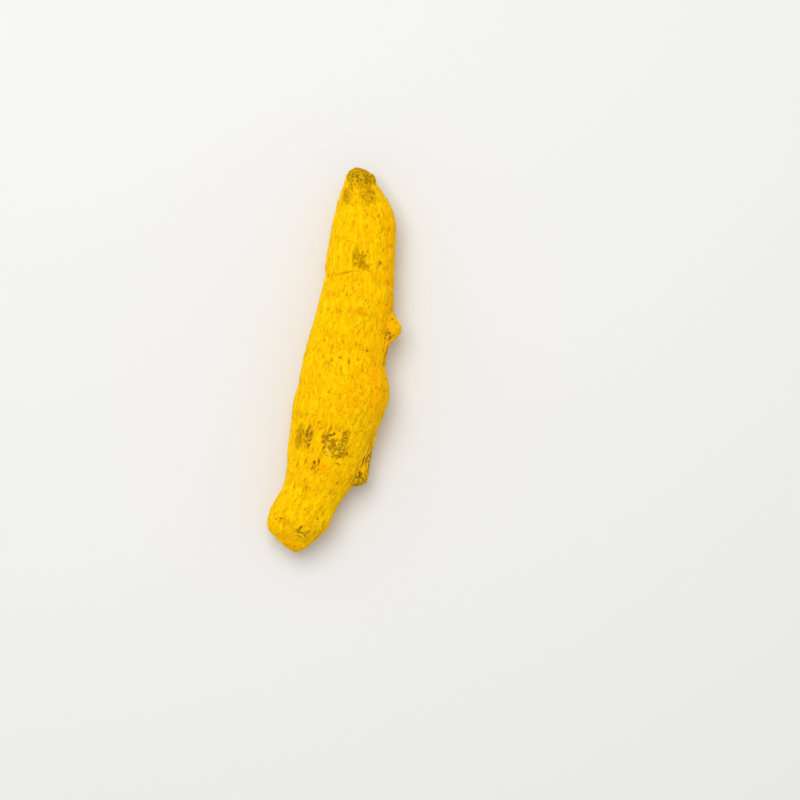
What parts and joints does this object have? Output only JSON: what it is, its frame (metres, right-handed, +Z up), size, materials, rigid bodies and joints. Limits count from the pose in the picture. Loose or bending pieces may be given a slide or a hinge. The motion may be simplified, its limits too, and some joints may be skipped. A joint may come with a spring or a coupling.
{
  "type": "turmeric root",
  "caption": "Dried turmeric root: a thick bowed finger of rhizome with faint leaf-scar rings, a side bud and a broken side shoot, lying on its side.",
  "frame": {"origin": "on the surface that the root lies on, under the middle of its bounding box", "axes": "+Z up; +Y along the root, from its blunt foot to its growing tip; +X to the side that the root bows towards, where its side bud is"},
  "size_m": [0.021, 0.0818, 0.0165],
  "materials": {
    "turmeric_rind": "matte, powdery golden yellow with fine dark flecks along the root and a few olive scars"
  },
  "bodies": {
    "root": {"turmeric_root": "turmeric_rind"}
  },
  "joints": []
}
